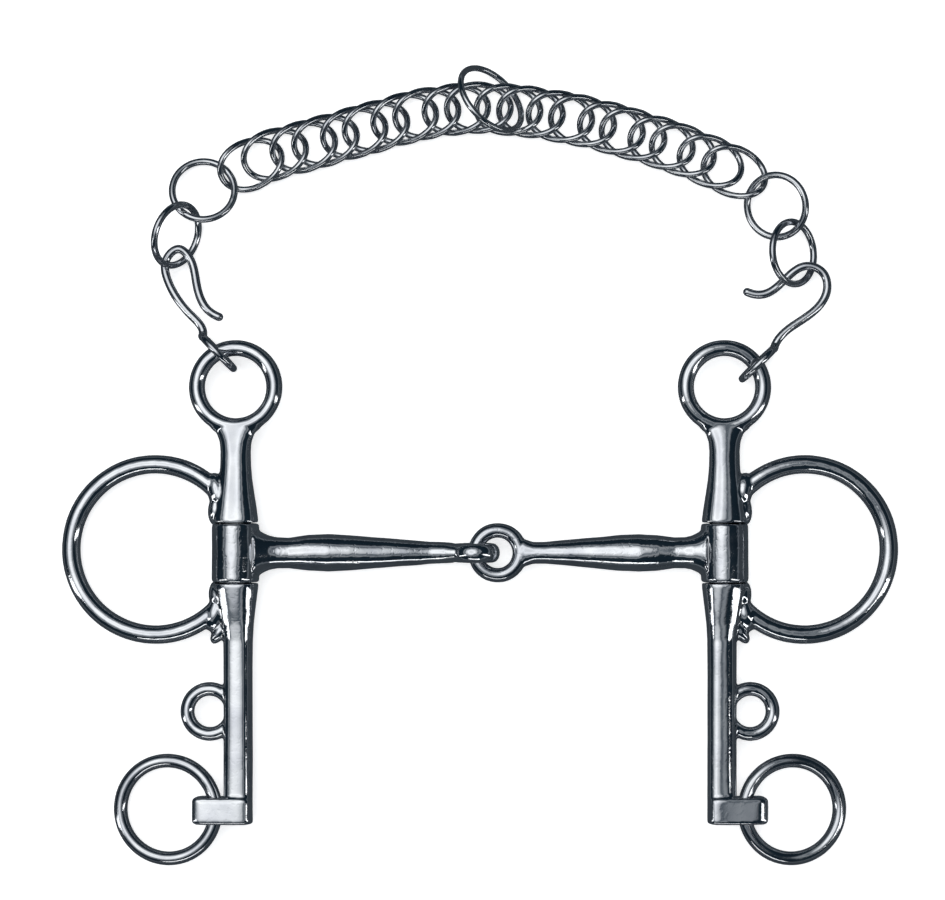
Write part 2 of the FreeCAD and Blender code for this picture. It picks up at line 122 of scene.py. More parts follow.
@dataclass(frozen=True)
class SteelFinish:
    """Polished stainless steel with the marks of its making.

    Attributes:
        name: Name of the material.
        slot: The record's slot this finish belongs to.
        bright: Colour of clean polished metal.
        dull: Colour where the polish is older or handled.
        gloss: Lowest roughness.
        haze: Highest roughness.
        wave_size: Size of the surface's soft unevenness.
        wave_depth: Depth of that unevenness.
        pit_size: Size of the small dimples.
        pit_depth: Depth of the dimples.
        scratch_depth: Depth of the hairline scratches.
    """

    name: str
    slot: Slot
    bright: Point
    dull: Point
    gloss: float
    haze: float
    wave_size: float
    wave_depth: float
    pit_size: float
    pit_depth: float
    scratch_depth: float

    def material(self) -> bpy.types.Material:
        """Return the finish as a material, made once.

        Returns:
            The material.
        """
        found = bpy.data.materials.get(self.name)
        if found is not None:
            return found
        made = bpy.data.materials.new(self.name)
        made.use_nodes = True
        tree = made.node_tree
        shader = tree.nodes["Principled BSDF"]
        shader.inputs["Metallic"].default_value = 1.0
        place = tree.nodes.new("ShaderNodeTexCoord").outputs["Object"]
        self._colour(tree, place, shader)
        self._gloss(tree, place, shader)
        self._relief(tree, place, shader)
        return made

    def _noise(
        self,
        tree: bpy.types.NodeTree,
        place: bpy.types.NodeSocket,
        size: float,
        detail: float,
    ) -> bpy.types.NodeSocket:
        """Add a noise texture.

        Args:
            tree: The material's nodes.
            place: Where on the surface.
            size: Size of the noise's lumps.
            detail: Levels of finer noise.

        Returns:
            The noise's value.
        """
        node = tree.nodes.new("ShaderNodeTexNoise")
        node.inputs["Scale"].default_value = 1.0 / size
        node.inputs["Detail"].default_value = detail
        tree.links.new(place, node.inputs["Vector"])
        return node.outputs["Fac"]

    def _range(
        self,
        tree: bpy.types.NodeTree,
        value: bpy.types.NodeSocket,
        start: tuple[float, float],
        end: tuple[float, float],
    ) -> bpy.types.NodeSocket:
        """Map a value from one range to another, held at its ends.

        Args:
            tree: The material's nodes.
            value: The value.
            start: The range it comes in.
            end: The range it leaves in.

        Returns:
            The mapped value.
        """
        node = tree.nodes.new("ShaderNodeMapRange")
        node.inputs["From Min"].default_value = start[0]
        node.inputs["From Max"].default_value = start[1]
        node.inputs["To Min"].default_value = end[0]
        node.inputs["To Max"].default_value = end[1]
        tree.links.new(value, node.inputs["Value"])
        return node.outputs["Result"]

    def _colour(
        self,
        tree: bpy.types.NodeTree,
        place: bpy.types.NodeSocket,
        shader: bpy.types.Node,
    ) -> None:
        """Tint the steel: clean metal, handled metal, and painted shade that darkens the hollows.

        Args:
            tree: The material's nodes.
            place: Where on the surface.
            shader: The surface shader.
        """
        cloud = self._range(tree, self._noise(tree, place, 9 * MM, 3.0), (0.35, 0.7), (0, 1))
        mix = tree.nodes.new("ShaderNodeMix")
        mix.data_type = "RGBA"
        mix.inputs["A"].default_value = (*self.bright, 1.0)
        mix.inputs["B"].default_value = (*self.dull, 1.0)
        tree.links.new(cloud, mix.inputs["Factor"])
        # Painted shade: Pointiness darkens the colour in concave hollows and creases, where shade
        # falls.
        painted_shade_pointiness = tree.nodes.new("ShaderNodeNewGeometry").outputs["Pointiness"]
        depth = self._range(tree, painted_shade_pointiness, (0.44, 0.495), (0.45, 1.0))
        shade = tree.nodes.new("ShaderNodeMix")
        shade.data_type = "RGBA"
        shade.blend_type = "MULTIPLY"
        shade.inputs["Factor"].default_value = 1.0
        tree.links.new(mix.outputs["Result"], shade.inputs["A"])
        tree.links.new(depth, shade.inputs["B"])
        tree.links.new(shade.outputs["Result"], shader.inputs["Base Color"])

    def _gloss(
        self,
        tree: bpy.types.NodeTree,
        place: bpy.types.NodeSocket,
        shader: bpy.types.Node,
    ) -> None:
        """Vary the roughness with handling.

        Args:
            tree: The material's nodes.
            place: Where on the surface.
            shader: The surface shader.
        """
        haze = self._noise(tree, place, 4 * MM, 6.0)
        rough = self._range(tree, haze, (0.3, 0.75), (self.gloss, self.haze))
        tree.links.new(rough, shader.inputs["Roughness"])

    def _relief(
        self,
        tree: bpy.types.NodeTree,
        place: bpy.types.NodeSocket,
        shader: bpy.types.Node,
    ) -> None:
        """Add the soft waves, dimples and hairlines to the surface.

        Args:
            tree: The material's nodes.
            place: Where on the surface.
            shader: The surface shader.
        """
        stretch = tree.nodes.new("ShaderNodeMapping")
        stretch.inputs["Rotation"].default_value = (0.2, 0.1, 0.6)
        stretch.inputs["Scale"].default_value = (0.08, 1.0, 1.0)
        tree.links.new(place, stretch.inputs["Vector"])
        hair = self._noise(tree, stretch.outputs["Vector"], 0.35 * MM, 2.0)
        hairlines = self._range(tree, hair, (0.62, 0.72), (0.0, 1.0))
        pits = self._range(tree, self._noise(tree, place, self.pit_size, 1.0), (0.55, 0.75), (0, 1))
        layers = (
            (self._noise(tree, place, self.wave_size, 1.5), self.wave_depth),
            (pits, -self.pit_depth),
            (hairlines, -self.scratch_depth),
        )
        normal: bpy.types.NodeSocket | None = None
        for height, depth in layers:
            bump = tree.nodes.new("ShaderNodeBump")
            bump.invert = depth < 0
            bump.inputs["Distance"].default_value = abs(depth)
            tree.links.new(height, bump.inputs["Height"])
            if normal is not None:
                tree.links.new(normal, bump.inputs["Normal"])
            normal = bump.outputs["Normal"]
        tree.links.new(normal, shader.inputs["Normal"])


CAST_STEEL = SteelFinish(
    name="cast_polished_steel",
    slot=Slot.CAST,
    bright=(0.74, 0.76, 0.78),
    dull=(0.60, 0.62, 0.66),
    gloss=0.05,
    haze=0.13,
    wave_size=9 * MM,
    wave_depth=0.10 * MM,
    pit_size=1.6 * MM,
    pit_depth=0.008 * MM,
    scratch_depth=0.0015 * MM,
)
BAR_STEEL = SteelFinish(
    name="mouthpiece_steel",
    slot=Slot.CAST,
    bright=(0.74, 0.76, 0.78),
    dull=(0.56, 0.58, 0.62),
    gloss=0.05,
    haze=0.14,
    wave_size=6 * MM,
    wave_depth=0.13 * MM,
    pit_size=1.3 * MM,
    pit_depth=0.018 * MM,
    scratch_depth=0.002 * MM,
)
WIRE_STEEL = SteelFinish(
    name="drawn_wire_steel",
    slot=Slot.WIRE,
    bright=(0.72, 0.74, 0.76),
    dull=(0.52, 0.54, 0.58),
    gloss=0.07,
    haze=0.18,
    wave_size=4 * MM,
    wave_depth=0.03 * MM,
    pit_size=0.9 * MM,
    pit_depth=0.004 * MM,
    scratch_depth=0.0015 * MM,
)


# Mesh making ---------------------------------------------------------------------------


def superellipse(
    centre: Vector, across: Vector, up: Vector, half: tuple[float, float], power: float, count: int
) -> Ring:
    """Return a rounded outline between an ellipse and a box.

    Args:
        centre: Its middle.
        across: Unit direction of its width.
        up: Unit direction of its depth.
        half: Half its width and half its depth.
        power: 2 for an ellipse, more for a squarer outline.
        count: Number of points.

    Returns:
        The outline's points.
    """
    points = []
    for step in range(count):
        turn = 2 * math.pi * step / count
        cos, sin = math.cos(turn), math.sin(turn)
        wide = math.copysign(abs(cos) ** (2 / power), cos) * half[0]
        deep = math.copysign(abs(sin) ** (2 / power), sin) * half[1]
        points.append(centre + across * wide + up * deep)
    return points


@dataclass
class MeshStock:
    """Vertices and faces of closed shells, gathered before they become one mesh."""

    verts: list[Vector] = field(default_factory=list)
    faces: list[tuple[int, ...]] = field(default_factory=list)

    def skin(self, rings: Sequence[Ring], looped: bool = False) -> None:
        """Add a shell stretched over rings of points.

        Args:
            rings: Rings with the same number of points.
            looped: Whether the last ring joins the first; if not, both ends are capped.
        """
        start = len(self.verts)
        sides = len(rings[0])
        for ring in rings:
            self.verts.extend(ring)
        spans = len(rings) if looped else len(rings) - 1
        for span in range(spans):
            low = start + span * sides
            high = start + ((span + 1) % len(rings)) * sides
            for side in range(sides):
                beyond = (side + 1) % sides
                self.faces.append((low + side, low + beyond, high + beyond, high + side))
        if not looped:
            last = start + (len(rings) - 1) * sides
            self.faces.append(tuple(start + side for side in reversed(range(sides))))
            self.faces.append(tuple(last + side for side in range(sides)))

    def tube(
        self,
        path: Sequence[Vector],
        radius: Callable[[float], float],
        sides: int,
        closed: bool,
        flat: float = 1.0,
    ) -> None:
        """Add round bar along a path, without twist.

        Args:
            path: Points along the bar's middle.
            radius: Radius at a share of the path's length.
            sides: Points round the bar.
            closed: Whether the bar ends where it starts.
            flat: Depth of the section as a share of its width.
        """
        count = len(path)
        tangents = []
        for index in range(count):
            if closed:
                ahead, behind = path[(index + 1) % count], path[index - 1]
            else:
                ahead, behind = path[min(index + 1, count - 1)], path[max(index - 1, 0)]
            tangents.append((ahead - behind).normalized())
        side_way = tangents[0].orthogonal().normalized()
        frames = []
        for tangent in tangents:
            side_way = (side_way - tangent * side_way.dot(tangent)).normalized()
            frames.append((side_way.copy(), tangent.cross(side_way)))
        slip = 0.0
        if closed:
            first = frames[0][0]
            back = (side_way - tangents[0] * side_way.dot(tangents[0])).normalized()
            slip = math.atan2(tangents[0].dot(back.cross(first)), back.dot(first))
        rings = []
        for index, (across, up) in enumerate(frames):
            share = index / count if closed else index / (count - 1)
            size = radius(share)
            ring = []
            for step in range(sides):
                turn = 2 * math.pi * step / sides + slip * share
                ring.append(
                    path[index]
                    + across * (size * math.cos(turn))
                    + up * (size * flat * math.sin(turn))
                )
            rings.append(ring)
        self.skin(rings, looped=closed)

    def lump(self, centre: Point, half: Point, turn: float = 0.0) -> None:
        """Add a rounded lump of metal.

        Args:
            centre: Its middle.
            half: Half its three sizes.
            turn: How far it is turned in the surface's plane, in degrees.
        """
        angle = math.radians(turn)
        along = Vector((math.cos(angle), math.sin(angle), 0.0))
        across = Vector((-math.sin(angle), math.cos(angle), 0.0))
        up = Vector((0.0, 0.0, 1.0))
        rings = []
        for step in range(13):
            tilt = math.pi * (0.02 + 0.96 * step / 12)
            middle = Vector(centre) - along * (half[0] * math.cos(tilt))
            share = math.sin(tilt)
            rings.append(
                superellipse(middle, across, up, (half[1] * share, half[2] * share), 2.0, 24)
            )
        self.skin(rings)

    def object(self, name: str, place: Matrix | None = None) -> bpy.types.Object:
        """Return the stock as a new smooth-shaded object.

        Args:
            name: Name of the object.
            place: Where its points go; a mirror image is allowed.

        Returns:
            The object, linked to the scene.
        """
        place = place or Matrix.Identity(4)
        mesh = bpy.data.meshes.new(name)
        faces = self.faces
        if place.determinant() < 0:
            faces = [tuple(reversed(face)) for face in faces]
        mesh.from_pydata([place @ vert for vert in self.verts], [], faces)
        mesh.shade_smooth()
        mesh.update()
        made = bpy.data.objects.new(name, mesh)
        bpy.context.scene.collection.objects.link(made)
        return made


def torus_rings(
    centre: Vector,
    across: Vector,
    up: Vector,
    ring_r: float,
    section: tuple[float, float],
    sides: int,
    arc: tuple[float, float] = (0.0, 360.0),
    steps: int = 128,
) -> list[Ring]:
    """Return the sections of a ring of oval bar.

    Args:
        centre: The ring's middle.
        across: Unit direction the arc is measured from, in the ring's plane.
        up: Unit direction at a right angle to it, in the ring's plane.
        ring_r: Radius to the middle of the bar.
        section: Half the bar's width in the ring's plane, and across it.
        sides: Points round the bar.
        arc: First and last angle, in degrees.
        steps: Number of sections.

    Returns:
        The sections, in order.
    """
    normal = across.cross(up)
    whole = abs(arc[1] - arc[0]) > 359.9
    rings = []
    for step in range(steps):
        share = step / steps if whole else step / (steps - 1)
        turn = math.radians(arc[0] + (arc[1] - arc[0]) * share)
        outward = across * math.cos(turn) + up * math.sin(turn)
        rings.append(
            superellipse(centre + outward * ring_r, outward, normal, section, 2.0, sides)
        )
    return rings


def cast(rough: bpy.types.Object, grain: float, passes: int) -> bpy.types.Object:
    """Melt an object's shells into one skin with softly blended joints.

    Args:
        rough: Overlapping closed shells.
        grain: Size of the faces of the new skin.
        passes: How many times the skin is relaxed.

    Returns:
        The same object with its new mesh.
    """
    melt = rough.modifiers.new("melt", "REMESH")
    melt.mode = "VOXEL"
    melt.voxel_size = grain
    melt.adaptivity = 0.0
    relax = rough.modifiers.new("relax", "SMOOTH")
    relax.factor = 0.5
    relax.iterations = passes
    evaluated = rough.evaluated_get(bpy.context.evaluated_depsgraph_get())
    mesh = bpy.data.meshes.new_from_object(evaluated)
    rough.modifiers.clear()
    old = rough.data
    rough.data = mesh
    bpy.data.meshes.remove(old)
    mesh.name = rough.name
    mesh.shade_smooth()
    return rough


def roughen(piece: bpy.types.Object, size: float, depth: float, seed: float) -> None:
    """Push a surface in and out by a slow, fixed noise.

    Args:
        piece: The object.
        size: Size of the unevenness.
        depth: How far the surface moves either way.
        seed: Where in the noise the piece lies.
    """
    mesh = piece.data
    offset = Vector((seed, seed * 1.7, -seed))
    moved = []
    for vert in mesh.vertices:
        push = noise.noise(vert.co / size + offset) * depth
        moved.append(vert.co + vert.normal * push)
    mesh.vertices.foreach_set("co", np.array(moved, dtype=np.float32).ravel())
    mesh.update()


def finish_piece(
    piece: bpy.types.Object, finish: SteelFinish, body: str, node: str
) -> bpy.types.Object:
    """Dress a piece, fix it to its body and let it stand for its node.

    Args:
        piece: The object.
        finish: Its finish.
        body: The body it rides on.
        node: The node it stands for.

    Returns:
        The piece.
    """
    piece.data.materials.clear()
    piece.data.materials.append(finish.material())
    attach(piece, body)
    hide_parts(node)
    LOG.info("%s: %d faces in %s", piece.name, len(piece.data.polygons), finish.name)
    return piece


@dataclass(frozen=True)
class NodeLay:
    """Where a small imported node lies: its middle and its own three directions."""

    middle: Vector
    long: Vector
    wide: Vector
    thin: Vector
    half: Point

    @classmethod
    def of(cls, node: str) -> NodeLay:
        """Measure a node of the frame.

        Args:
            node: Name of the node.

        Returns:
            Its lay; the thin direction is the normal of a ring.
        """
        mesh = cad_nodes()[node].data
        points = np.empty(len(mesh.vertices) * 3)
        mesh.vertices.foreach_get("co", points)
        points = points.reshape(-1, 3)
        middle = (points.max(axis=0) + points.min(axis=0)) / 2
        for _ in range(2):
            _, _, ways = np.linalg.svd(points - middle, full_matrices=False)
            local = (points - middle) @ ways.T
            middle = middle + ((local.max(axis=0) + local.min(axis=0)) / 2) @ ways
        long, wide = Vector(ways[0]), Vector(ways[1])
        half = tuple(float(value) for value in (local.max(axis=0) - local.min(axis=0)) / 2)
        return cls(Vector(middle), long, wide, long.cross(wide), half)


_FRAME: dict[str, object] = {}


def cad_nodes() -> dict[str, bpy.types.Object]:
    """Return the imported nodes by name."""
    return _FRAME["nodes"]


def mount(name: str) -> tuple[Vector, Vector]:
    """Return where a mount of the record is and which way it faces.

    Args:
        name: The mount's name.

    Returns:
        Its position and its axis.
    """
    for entry in _FRAME["record"]["mounts"]:
        if entry["name"] == name:
            return Vector(entry["pos_m"]), Vector(entry["axis"]).normalized()
    raise KeyError(name)


def joint_place(child: str) -> Vector:
    """Return where the joint that moves a body is.

    Args:
        child: The body.

    Returns:
        The joint's position.
    """
    for entry in _FRAME["record"]["behaviour"]["joints"]:
        if entry["child"] == child:
            return Vector(entry["pos_m"])
    raise KeyError(child)


# Sub-assemblies ------------------------------------------------------------------------


@dataclass
class Cheek:
    """One cast cheek: upper eye, neck, snaffle ring, shank, strap loop and ring hanger.

    Its own directions are outwards, up the cheek, and off the surface.
    """

    side: Side
    sleeve_half: float = 9.6 * MM
    eye_r: float = 12.4 * MM
    eye_section: tuple[float, float] = (2.6 * MM, 2.6 * MM)
    shoulder: tuple[float, float] = (7.2 * MM, 5.6 * MM)
    neck: tuple[float, float] = (5.1 * MM, 3.6 * MM)
    shank: tuple[float, float] = (4.6 * MM, 3.9 * MM)
    shank_offset: float = -0.8 * MM
    ring_r: float = 27.1 * MM
    ring_section: tuple[float, float] = (3.0 * MM, 3.0 * MM)
    loop_r: float = 7.15 * MM
    loop_section: tuple[float, float] = (2.25 * MM, 2.35 * MM)
    ring_root: float = 3.0 * MM
    pin_r: float = 4.5 * MM
    pin_root: float = 3.0 * MM
    foot_overlap: float = 0.1 * MM
    hanger_half: Point = (9.4 * MM, 4.3 * MM, 4.75 * MM)
    hanger_middle: tuple[float, float] = (4.25 * MM, -81.8 * MM)
    hanger_rounding: float = 0.12
    slot_half: tuple[float, float] = (4.0 * MM, 2.75 * MM)
    slot_middle: float = 7.25 * MM
    grain: float = 0.36 * MM
    relax_passes: int = 9
    wave_size: float = 11 * MM
    wave_depth: float = 0.07 * MM

    def place(self) -> Matrix:
        """Return the cheek's place: a mirror image on the left."""
        _, normal = mount(f"{self.side.value}_upper_eye")
        origin = joint_place(f"{self.side.value}_cheek")
        up = Vector((0.0, 1.0, 0.0))
        outward = up.cross(normal) * self.side.sign
        rows = Matrix((outward, up, normal)).transposed().to_4x4()
        return Matrix.Translation(origin) @ rows

    def local(self, name: str) -> Vector:
        """Return a mount's position in the cheek's own directions.

        Args:
            name: The mount's name without the side.

        Returns:
            The position.
        """
        position, _ = mount(f"{self.side.value}_{name}")
        return self.place().inverted() @ position

    def column(self, stock: MeshStock, stations: Sequence[Sequence[float]]) -> None:
        """Add an upright bar of changing section.

        Args:
            stock: The mesh in the making.
            stations: Height, offset, half width, half depth and squareness of each section.
        """
        across, up = Vector((1, 0, 0)), Vector((0, 0, 1))
        rises = stations[-1][0] > stations[0][0]
        rings = []
        for height, offset, half_width, half_depth, power in stations:
            centre = Vector((offset, height, 0.0))
            ring = superellipse(centre, across, up, (half_width, half_depth), power, 36)
            rings.append(ring[::-1] if rises else ring)
        stock.skin(rings)

    def add_neck(self, stock: MeshStock) -> None:
        """Add the cheek from the sleeve up to the upper eye.

        Args:
            stock: The mesh in the making.
        """
        low = self.sleeve_half
        top = self.local("upper_eye").y - self.eye_r
        wide, deep = self.shoulder
        waist, thin = self.neck
        self.column(stock, [
            (low, 0.0, wide, deep, 2.4),
            (low + 1.0 * MM, 0.0, wide, deep, 2.4),
            (low + 5.0 * MM, 0.0, wide * 0.93, deep * 0.95, 2.3),
            (low + 9.5 * MM, 0.0, wide * 0.83, deep * 0.86, 2.3),
            (low + 14.0 * MM, 0.0, waist * 1.04, thin * 1.16, 2.3),
            (low + 18.0 * MM, 0.0, waist * 0.97, thin * 1.06, 2.3),
            (low + 22.5 * MM, 0.0, waist * 0.95, thin, 2.3),
            (top - 5.0 * MM, 0.0, waist * 1.0, thin * 0.93, 2.3),
            (top - 2.5 * MM, 0.0, waist * 1.18, thin * 0.84, 2.2),
            (top - 0.5 * MM, 0.0, waist * 1.45, thin * 0.76, 2.1),
            (top + 1.2 * MM, 0.0, waist * 1.70, thin * 0.66, 2.0),
        ])

    def add_shank(self, stock: MeshStock) -> None:
        """Add the cheek from the sleeve down to its foot.

        Args:
            stock: The mesh in the making.
        """
        high = -self.sleeve_half
        foot = self.hanger_middle[1] - self.hanger_half[1] + self.foot_overlap
        wide, deep = self.shoulder
        width, depth = self.shank
        inset = self.shank_offset
        self.column(stock, [
            (high, 0.0, wide, deep, 2.4),
            (high - 1.0 * MM, 0.0, wide, deep, 2.4),
            (high - 4.5 * MM, inset * 0.2, wide * 0.92, deep * 0.94, 2.4),
            (high - 8.5 * MM, inset * 0.5, wide * 0.82, deep * 0.87, 2.5),
            (high - 13.0 * MM, inset * 0.8, width * 1.12, depth * 1.12, 2.6),
            (high - 18.0 * MM, inset, width * 1.02, depth * 1.03, 2.6),
            (high - 30.0 * MM, inset, width, depth, 2.7),
            (high - 50.0 * MM, inset, width, depth, 2.8),
            (foot + 6.0 * MM, inset, width, depth, 3.0),
            (foot, inset, width, depth, 3.6),
        ])

    def add_pin(self, stock: MeshStock) -> None:
        """Add the pin that the sleeve turns on.

        Args:
            stock: The mesh in the making.
        """
        reach = self.sleeve_half + self.pin_root
        path = [Vector((0, -reach, 0)), Vector((0, 0, 0)), Vector((0, reach, 0))]
        stock.tube(path, lambda share: self.pin_r, 32, closed=False)

    def add_rings(self, stock: MeshStock) -> None:
        """Add the upper eye, the snaffle ring and the strap loop.

        Args:
            stock: The mesh in the making.
        """
        across, up = Vector((1, 0, 0)), Vector((0, 1, 0))
        eye = self.local("upper_eye")
        stock.skin(torus_rings(eye, across, up, self.eye_r, self.eye_section, 28), looped=True)
        ring = self.local("snaffle_ring")
        gate = math.degrees(math.asin((self.sleeve_half + self.ring_root) / self.ring_r))
        stock.skin(
            torus_rings(
                ring,
                across,
                up,
                self.ring_r,
                self.ring_section,
                28,
                arc=(-180.0 + gate, 180.0 - gate),
                steps=160,
            )
        )
        loop = self.local("lip_strap_hole")
        stock.skin(torus_rings(loop, across, up, self.loop_r, self.loop_section, 24), looped=True)

    def add_fillets(self, stock: MeshStock) -> None:
        """Add the metal that runs the rings and the neck into each other.

        Args:
            stock: The mesh in the making.
        """
        low = self.sleeve_half
        eye = self.local("upper_eye").y - self.eye_r
        loop = self.local("lip_strap_hole").y
        lumps = [
            ((5.6 * MM, low + 9.5 * MM), (3.4 * MM, 6.6 * MM, 3.9 * MM), -14.0),
            ((6.2 * MM, low + 4.2 * MM), (2.6 * MM, 5.2 * MM, 3.6 * MM), 6.0),
            ((6.4 * MM, -low - 9.6 * MM), (3.4 * MM, 6.2 * MM, 3.6 * MM), 16.0),
            ((5.0 * MM, -low - 15.4 * MM), (2.2 * MM, 4.6 * MM, 2.7 * MM), 34.0),
            ((6.0 * MM, -low - 4.2 * MM), (2.6 * MM, 5.0 * MM, 3.5 * MM), -6.0),
        ]
        for way in (1.0, -1.0):
            spot = (way * 5.6 * MM, eye + 0.4 * MM)
            lumps.append((spot, (3.6 * MM, 2.4 * MM, 2.2 * MM), way * 38))
        for way in (1.0, -1.0):
            spot = (3.6 * MM, loop + way * 6.2 * MM)
            lumps.append((spot, (2.0 * MM, 3.0 * MM, 2.0 * MM), way * 30))
        for (outward, height), half, turn in lumps:
            stock.lump((outward, height, 0.0), half, turn)

    def add_hanger(self, stock: MeshStock) -> None:
        """Add the foot block with its slot for the curb ring.

        Args:
            stock: The mesh in the making.
        """
        across, up = Vector((1, 0, 0)), Vector((0, 0, 1))
        middle_x, middle_y = self.hanger_middle
        half_x, half_y, half_z = self.hanger_half
        outer, inner = [], []
        straight = 0.8
        for share in (-1.0, -0.93, -straight, 0.0, straight, 0.93, 1.0):
            past = max(0.0, (abs(share) - straight) / (1.0 - straight))
            round_off = 1.0 - self.hanger_rounding * past**2
            height = middle_y + half_y * share
            block = (half_x * round_off, half_z * round_off)
            slot = (self.slot_half[0] / round_off, self.slot_half[1] / round_off)
            block_middle = Vector((middle_x, height, 0))
            slot_middle = Vector((self.slot_middle, height, 0))
            outer.append(superellipse(block_middle, across, up, block, 6.0, 64))
            inner.append(superellipse(slot_middle, across, up, slot, 4.0, 64))
        stock.skin(outer + inner[::-1], looped=True)

    def build(self) -> bpy.types.Object:
        """Build and dress the cheek.

        Returns:
            The cheek.
        """
        stock = MeshStock()
        self.add_neck(stock)
        self.add_shank(stock)
        self.add_pin(stock)
        self.add_rings(stock)
        self.add_fillets(stock)
        self.add_hanger(stock)
        node = f"{self.side.value}_cheek"
        piece = stock.object(f"{node}_casting", self.place())
        cast(piece, self.grain, self.relax_passes)
        roughen(piece, self.wave_size, self.wave_depth, 3.0 + self.side.sign)
        return finish_piece(piece, CAST_STEEL, node, node)


@dataclass
class Cannon:
    """One half of the mouthpiece: sleeve, bar and the eye at the middle of the bit."""

    side: Side
    sleeve_r: float = 7.55 * MM
    sleeve_half: float = 9.3 * MM
    bore_r: float = 4.6 * MM
    waist_r: float = 4.8 * MM
    belly_r: float = 6.0 * MM
    neck_r: float = 3.35 * MM
    flat_eye_r: float = 7.1 * MM
    flat_eye_section: tuple[float, float] = (2.37 * MM, 2.37 * MM)
    upright_eye_r: float = 5.5 * MM
    upright_eye_section: tuple[float, float] = (2.35 * MM, 3.1 * MM)
    bar_start: float = 1.6 * MM
    grain: float = 0.34 * MM
    relax_passes: int = 7
    wave_size: float = 8 * MM
    wave_depth: float = 0.16 * MM

    def axis_x(self) -> float:
        """Return how far the sleeve's axis is from the bit's middle."""
        return abs(joint_place(f"{self.side.value}_cheek").x)

    def pin_x(self) -> float:
        """Return where the two eyes turn on each other."""
        return joint_place("right_cannon").x

    def add_sleeve(self, stock: MeshStock) -> None:
        """Add the sleeve with its open bore.

        Args:
            stock: The mesh in the making.
        """
        across, up = Vector((1, 0, 0)), Vector((0, 0, 1))
        centre_x = self.axis_x() * self.side.sign
        profile = (
            (-1.0, self.sleeve_r - 0.5 * MM),
            (-0.96, self.sleeve_r - 0.12 * MM),
            (-0.9, self.sleeve_r),
            (0.0, self.sleeve_r + 0.05 * MM),
            (0.9, self.sleeve_r),
            (0.96, self.sleeve_r - 0.12 * MM),
            (1.0, self.sleeve_r - 0.5 * MM),
            (1.0, self.bore_r),
            (0.0, self.bore_r),
            (-1.0, self.bore_r),
        )
        rings = []
        for share, radius in profile:
            centre = Vector((centre_x, self.sleeve_half * share, 0))
            rings.append(superellipse(centre, across, up, (radius, radius), 2.0, 48))
        stock.skin(rings, looped=True)

    def add_bar(self, stock: MeshStock) -> None:
        """Add the swelling bar from the sleeve to the eye.

        Args:
            stock: The mesh in the making.
        """
        upright = self.side is Side.LEFT
        across, up = Vector((0, 1, 0)), Vector((0, 0, 1))
        start = self.axis_x() - self.sleeve_r + self.bar_start
        eye_r = self.upright_eye_r if upright else self.flat_eye_r
        centre = self.pin_x() if upright else self.pin_x() + self.flat_eye_r
        end = centre * self.side.sign + eye_r
        neck = self.neck_r
        stations = (
            (0.0, self.sleeve_r * 1.06, self.sleeve_r * 0.90),
            (0.02, self.sleeve_r * 0.97, self.sleeve_r * 0.84),
            (0.045, self.waist_r * 1.32, self.waist_r * 1.22),
            (0.075, self.waist_r * 1.14, self.waist_r * 1.10),
            (0.11, self.waist_r * 1.04, self.waist_r * 1.02),
            (0.17, self.waist_r * 1.02, self.waist_r * 1.0),
            (0.26, self.belly_r * 0.94, self.belly_r * 0.92),
            (0.36, self.belly_r, self.belly_r * 0.97),
            (0.47, self.belly_r * 0.94, self.belly_r * 0.92),
            (0.60, self.belly_r * 0.82, self.belly_r * 0.81),
            (0.74, self.belly_r * 0.70, self.belly_r * 0.70),
            (0.86, neck * 1.06, neck * 1.06),
            (0.93, neck if upright else neck * 1.05, neck * 1.12 if upright else neck),
            (0.975, neck * 0.95 if upright else neck * 1.3, neck * 1.4 if upright else neck * 0.85),
            (1.0, neck * 0.8 if upright else neck * 1.5, neck * 1.5 if upright else neck * 0.7),
        )
        rings = []
        for share, half_y, half_z in stations:
            x = (start + (end - start) * share) * self.side.sign
            ring = superellipse(Vector((x, 0, 0)), across, up, (half_y, half_z), 2.1, 40)
            rings.append(ring if self.side is Side.RIGHT else ring[::-1])
        stock.skin(rings)

    def add_eye(self, stock: MeshStock) -> None:
        """Add the eye: standing up on the left bar, lying flat on the right one.

        Args:
            stock: The mesh in the making.
        """
        if self.side is Side.LEFT:
            centre = Vector((self.pin_x(), 0, 0))
            across, up = Vector((1, 0, 0)), Vector((0, 0, 1))
            radius, section = self.upright_eye_r, self.upright_eye_section
        else:
            centre = Vector((self.pin_x() + self.flat_eye_r, 0, 0))
            across, up = Vector((1, 0, 0)), Vector((0, 1, 0))
            radius, section = self.flat_eye_r, self.flat_eye_section
        stock.skin(torus_rings(centre, across, up, radius, section, 28), looped=True)

    def build(self) -> bpy.types.Object:
        """Build and dress the half mouthpiece.

        Returns:
            The piece.
        """
        stock = MeshStock()
        self.add_sleeve(stock)
        self.add_bar(stock)
        self.add_eye(stock)
        node = f"{self.side.value}_cannon"
        piece = stock.object(f"{node}_bar")
        cast(piece, self.grain, self.relax_passes)
        roughen(piece, self.wave_size, self.wave_depth, 7.0 - self.side.sign)
        return finish_piece(piece, BAR_STEEL, node, node)


